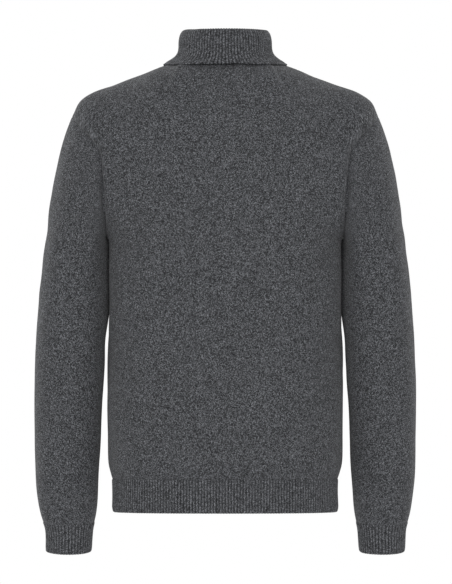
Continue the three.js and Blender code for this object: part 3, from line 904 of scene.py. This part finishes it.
def cuff(name, sign):
    turned = np.array([sign, 1, 1])
    count = CUFF_RIBS * STEPS_PER_RIB
    turn = np.arange(count) / count
    rows = rows_by_height(CUFF_SECTIONS, BAND_ROW_STEP, extra_first=True)
    sections = {key: column[:, None] for key, column in table_at(CUFF_SECTIONS, rows).items()}
    grid = sleeve_point(sections, turn[None] * 2 * np.pi)
    grid[-1, :, 2] += RIB_WALL / 2
    normals = ring_normals(grid_normals(grid, True), CUFF_SECTIONS["tilt"][0])
    raised = rib_height(turn * CUFF_RIBS)[None] * band_fade(grid)
    raised[0] = -BAND_SEAM_DIP
    relief = soft_relief(grid * turned) - turned_in(grid, CUFF_TURN_IN)
    outer = (grid + normals * (relief + raised)[..., None]) * turned
    inner = (grid + normals * (relief - RIB_WALL)[..., None]) * turned
    wale = np.arange(count + 1) / STEPS_PER_RIB * RIB_WALE
    knit = closed_places(grid, wale)
    return make_wall(name, outer, inner, knit, closed=True, free_end=True)


def collar(name):
    count = COLLAR_RIBS * STEPS_PER_RIB
    turn = np.arange(count) / count
    angle = turn * 2 * np.pi
    last = len(COLLAR_SECTIONS["back"]) - 1
    rows = np.linspace(0, last, COLLAR_ROWS + 1)
    rows = np.insert(rows, 1, COLLAR_BESIDE_NECK)
    sections = {key: column[:, None] for key, column in table_at(COLLAR_SECTIONS, rows).items()}
    grid = neck_point(sections, angle[None])

    # The first row is drawn to the neck seam's inner face, and the hidden face to its outer one
    seam = neck_point(NECKLINE, angle)
    outward = neckline_outward(angle)
    near = (np.clip(1 - rows, 0, 1) ** 2)[:, None, None]
    grid = grid + (seam - outward * RIB_WALL - grid[0]) * near
    normals = grid_normals(grid, True)
    beyond = unit(grid[-1] - grid[-2])
    grid[-1] -= beyond * RIB_WALL / 2
    rolled = np.exp(-(((rows - ROLL_ROW) / ROLL_REACH) ** 2))[:, None, None]
    hidden = grid - normals * (RIB_WALL - ROLL_THINNING * rolled)
    hidden = hidden + (seam - hidden[0]) * near

    # The fold thins towards its edge, from the outside, so that it lies flat on the shoulders
    gone = lengths_along(grid, 0)
    thinned = smooth(FOLD_EDGE_TAPER, 0, gone[-1:] - gone)
    raised = rib_height(turn * COLLAR_RIBS)[None] * band_fade(grid)
    raised = raised * (1 - COLLAR_EDGE_FLATTENING * thinned)
    relief = soft_relief(grid) * COLLAR_SOFTNESS
    lift = (relief + raised - (RIB_WALL - FOLD_EDGE_WALL) * thinned)[..., None]
    outer = grid + normals * lift
    inner = hidden + normals * relief[..., None]
    wale = np.arange(count + 1) / STEPS_PER_RIB * RIB_WALE
    knit = closed_places(grid, wale)
    return make_wall(name, outer, inner, knit, closed=True, free_end=True)


# Materials


class Nodes:
    """Short calls for the nodes of one material."""

    def __init__(self, name):
        self.material = bpy.data.materials.new(name)
        self.material.use_nodes = True
        self.tree = self.material.node_tree
        self.shader = self.tree.nodes["Principled BSDF"]

    def link(self, value, socket):
        if isinstance(value, (int, float)):
            socket.default_value = value
        else:
            self.tree.links.new(value, socket)

    def math(self, operation, *values):
        node = self.tree.nodes.new("ShaderNodeMath")
        node.operation = operation
        for value, socket in zip(values, node.inputs):
            self.link(value, socket)
        return node.outputs[0]

    def vector(self, x, y, z=0.0):
        node = self.tree.nodes.new("ShaderNodeCombineXYZ")
        for value, socket in zip((x, y, z), node.inputs):
            self.link(value, socket)
        return node.outputs[0]

    def noise(self, across, along, wide, long, detail, seed):
        place = self.vector(
            self.math("DIVIDE", across, wide), self.math("DIVIDE", along, long), seed
        )
        node = self.tree.nodes.new("ShaderNodeTexNoise")
        self.link(place, node.inputs["Vector"])
        node.inputs["Scale"].default_value = 1.0
        node.inputs["Detail"].default_value = detail
        node.inputs["Roughness"].default_value = 0.5
        return node.outputs["Fac"]

    def white_noise(self, place):
        node = self.tree.nodes.new("ShaderNodeTexWhiteNoise")
        node.noise_dimensions = "2D"
        self.link(place, node.inputs["Vector"])
        return node.outputs["Value"]

    def ramp(self, value, low, high, to_low, to_high):
        node = self.tree.nodes.new("ShaderNodeMapRange")
        self.link(value, node.inputs["Value"])
        for key, number in zip(("From Min", "From Max", "To Min", "To Max"),
                               (low, high, to_low, to_high)):
            node.inputs[key].default_value = number
        return node.outputs["Result"]


def knit_material(name, wale, course, rib):
    """Heathered yarn in V stitches. Height and colour follow the stitches on the cloth: the colour
    carries painted shade in their hollows and in rib troughs, and painted highlights on their
    tops.
    """
    nodes = Nodes(name)
    spot = nodes.tree.nodes.new("ShaderNodeUVMap")
    spot.uv_map = "knit"
    split = nodes.tree.nodes.new("ShaderNodeSeparateXYZ")
    nodes.link(spot.outputs["UV"], split.inputs[0])
    across = nodes.math("MULTIPLY", split.outputs[0], 1 / MILLIMETRE)
    along = nodes.math("MULTIPLY", split.outputs[1], 1 / MILLIMETRE)

    # The yarn wanders a little, so that no two stitches are quite alike
    wander = nodes.ramp(nodes.noise(across, along, *WANDER), 0.3, 0.7,
                        -WANDER_REACH, WANDER_REACH)
    wandered = nodes.math("ADD", across, nodes.math("MULTIPLY", wander, WANDER_ACROSS))
    wales = nodes.math("DIVIDE", wandered, wale)
    courses = nodes.math("DIVIDE", nodes.math("ADD", along, wander), course)
    leg = nodes.math("ABSOLUTE", nodes.math("SUBTRACT", nodes.math("FRACT", wales), 0.5))
    slanted = nodes.math("SUBTRACT", courses, nodes.math("MULTIPLY", leg, LEG_SLANT))
    turn = nodes.math("FRACT", slanted)
    crown = nodes.math("SINE", nodes.math("MULTIPLY", turn, np.pi))
    crown = nodes.math("POWER", crown, STITCH_ROUNDNESS)
    side = nodes.math("SINE", nodes.math("MULTIPLY", leg, 2 * np.pi))
    side = nodes.math("POWER", nodes.math("MAXIMUM", side, 0.0), LEG_ROUNDNESS)
    stitch = nodes.math("MULTIPLY", crown, side)

    # Fibres: fine across the stitches, so that the yarn isn't smooth
    fibre = nodes.noise(across, along, *FIBRE)
    fuzz = nodes.noise(across, along, *FUZZ)
    height = nodes.math("ADD", stitch, nodes.math("MULTIPLY", fibre, FIBRE_HEIGHT))
    height = nodes.math("ADD", height, nodes.math("MULTIPLY", fuzz, FUZZ_HEIGHT))
    bump = nodes.tree.nodes.new("ShaderNodeBump")
    bump.inputs["Strength"].default_value = BUMP_STRENGTH
    bump.inputs["Distance"].default_value = BUMP_DEPTH
    nodes.link(height, bump.inputs["Height"])
    nodes.link(bump.outputs["Normal"], nodes.shader.inputs["Normal"])

    # Heather: each speck takes its own shade, evenly on a scale of ratios, with clouds over them
    sloped = nodes.math("MULTIPLY", slanted, course)
    cell = nodes.vector(nodes.math("FLOOR", nodes.math("DIVIDE", wandered, SPECK_WIDE)),
                        nodes.math("FLOOR", nodes.math("DIVIDE", sloped, SPECK_LONG)))
    own = nodes.ramp(nodes.white_noise(cell), 0.0, 1.0, -0.5, 0.5)
    own = nodes.math("POWER", SPECK_SPREAD["rib" if rib else "jersey"], own)
    fleck = nodes.ramp(nodes.noise(across, along, *FLECK), 0.25, 0.75,
                       -FLECK_SHADE, FLECK_SHADE)
    cloud = nodes.ramp(nodes.noise(across, along, *CLOUD), 0.3, 0.7,
                       -CLOUD_SHADE, CLOUD_SHADE)
    # Painted shade down in each stitch's hollows, and a faint painted highlight on its crown
    painted_stitch_shade = nodes.ramp(stitch, 0.0, 0.7, *STITCH_PAINTED_SHADE)
    over = nodes.math("ADD", nodes.math("ADD", 1.0, fleck), nodes.math("ADD", cloud, painted_stitch_shade))
    # On ribs: a painted highlight along each rib's top and painted shade in the trough between
    # ribs
    if rib:
        over = nodes.math("ADD", over, nodes.ramp(leg, 0.2, 0.46, *RIB_PAINTED_LIGHT_AND_SHADE))
    shade = nodes.math("MULTIPLY", own, nodes.math("MAXIMUM", over, DARKEST_SHADE))
    tint = nodes.tree.nodes.new("ShaderNodeVectorMath")
    tint.operation = "SCALE"
    tint.inputs[0].default_value = YARN_COLOUR
    nodes.link(shade, tint.inputs["Scale"])

    # Sparse pale fibres, as in a melange yarn
    pale = nodes.ramp(nodes.noise(across, along, *PALE_FIBRE), 0.66, 0.8, 0.0, PALE_SHARE)
    mix = nodes.tree.nodes.new("ShaderNodeMix")
    mix.data_type = "RGBA"
    nodes.link(pale, mix.inputs["Factor"])
    nodes.link(tint.outputs[0], mix.inputs[6])
    mix.inputs[7].default_value = (*YARN_LIGHT, 1)
    nodes.link(mix.outputs[2], nodes.shader.inputs["Base Color"])

    roughness = nodes.ramp(fuzz, 0.3, 0.7, *YARN_ROUGHNESS)
    nodes.link(roughness, nodes.shader.inputs["Roughness"])
    nodes.shader.inputs["Specular IOR Level"].default_value = YARN_SPECULAR
    nodes.shader.inputs["Sheen Weight"].default_value = YARN_SHEEN
    nodes.shader.inputs["Sheen Roughness"].default_value = YARN_SHEEN_ROUGHNESS
    return nodes.material


def floor_material(name):
    nodes = Nodes(name)
    grain = nodes.tree.nodes.new("ShaderNodeTexNoise")
    grain.inputs["Scale"].default_value = FLOOR_GRAIN_SCALE
    low = FLOOR_SHADE * (1 - FLOOR_GRAIN)
    high = FLOOR_SHADE * (1 + FLOOR_GRAIN)
    shade = nodes.ramp(grain.outputs["Fac"], 0.0, 1.0, low, high)
    nodes.link(nodes.vector(shade, shade, shade), nodes.shader.inputs["Base Color"])
    nodes.shader.inputs["Roughness"].default_value = FLOOR_ROUGHNESS
    return nodes.material


# The sweater

KNITS = {
    "jersey_knit": knit_material("plain_knit", JERSEY_WALE, JERSEY_COURSE, rib=False),
    "rib_knit": knit_material("ribbed_knit", RIB_WALE, RIB_COURSE, rib=True),
}

# Each piece: the node that it replaces, its slot, the size it was cut to and the cut's area
PIECES = (
    (panel("back_cloth", 1), "back", "jersey_knit", (0.52, 0.69), 0.30),
    (panel("front_cloth", -1), "front", "jersey_knit", (0.53, 0.68), 0.30),
    (sleeve("sleeve_left_cloth", 1), "sleeve_left", "jersey_knit", (0.37, 0.60), 0.18),
    (sleeve("sleeve_right_cloth", -1), "sleeve_right", "jersey_knit", (0.37, 0.60), 0.18),
    (hem_rib("hem_rib_back_cloth", 1), "hem_rib_back", "rib_knit", (0.475, 0.051), None),
    (hem_rib("hem_rib_front_cloth", -1), "hem_rib_front", "rib_knit", (0.475, 0.051), None),
    (cuff("cuff_left_cloth", 1), "cuff_left", "rib_knit", (0.225, 0.047), None),
    (cuff("cuff_right_cloth", -1), "cuff_right", "rib_knit", (0.225, 0.047), None),
    (collar("collar_cloth"), "collar", "rib_knit", (0.44, 0.125), None),
)
for piece, node, slot, flat, area in PIECES:
    piece.data.materials.append(KNITS[slot])
    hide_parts(node)
    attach(piece, "root")


# The floor, a pale disc that ends before it comes into the photograph's view

turns = np.arange(FLOOR_SIDES) / FLOOR_SIDES * 2 * np.pi
rim = vectors(FLOOR_RADIUS * np.sin(turns), FLOOR_RADIUS * np.cos(turns), FLOOR_Z) * MILLIMETRE
floor_mesh = bpy.data.meshes.new("floor")
floor_mesh.from_pydata(rim.tolist(), [], [list(range(FLOOR_SIDES))[::-1]])
floor_mesh.materials.append(floor_material("floor_pale"))
floor = bpy.data.objects.new("floor", floor_mesh)
bpy.context.collection.objects.link(floor)


# Light: a large soft light on the back, and two weaker ones from beside the front


def soft_light(name, place, size, power):
    data = bpy.data.lights.new(name, "AREA")
    data.shape = "SQUARE"
    data.size = size
    data.energy = power
    light = bpy.data.objects.new(name, data)
    bpy.context.collection.objects.link(light)
    light.location = place
    light.rotation_euler = to_euler(np.array(LIGHT_AIM) - np.array(place))


def to_euler(direction):
    """Turns something that looks down its own -Z towards a direction."""
    flat = np.hypot(direction[0], direction[1])
    tilt = np.arctan2(flat, -direction[2])
    turn = np.arctan2(direction[1], direction[0]) - np.pi / 2
    return (tilt, 0.0, turn)


for light_name, (place, size, power) in LIGHTS.items():
    soft_light(light_name, place, size, power)

# The room lights the cloth softly, and is plain white behind it
world = bpy.data.worlds.new("white_room")
world.use_nodes = True
room = world.node_tree
background = room.nodes["Background"]
background.inputs["Color"].default_value = (1, 1, 1, 1)
seen = room.nodes.new("ShaderNodeLightPath").outputs["Is Camera Ray"]
strength = room.nodes.new("ShaderNodeMapRange")
room.links.new(seen, strength.inputs["Value"])
strength.inputs["To Min"].default_value = ROOM_LIGHT
strength.inputs["To Max"].default_value = 1.0
room.links.new(strength.outputs["Result"], background.inputs["Strength"])
bpy.context.scene.world = world
bpy.context.scene.view_settings.view_transform = "Standard"


# The camera looks straight at the back, level with the middle of the garment

camera_data = bpy.data.cameras.new("camera")
camera_data.sensor_width = SENSOR
camera_data.lens = SENSOR * CAMERA[1] / VIEW_HEIGHT
camera = bpy.data.objects.new("camera", camera_data)
bpy.context.collection.objects.link(camera)
camera.location = [number * MILLIMETRE for number in CAMERA]
camera.rotation_euler = to_euler((0.0, -1.0, 0.0))
bpy.context.scene.camera = camera
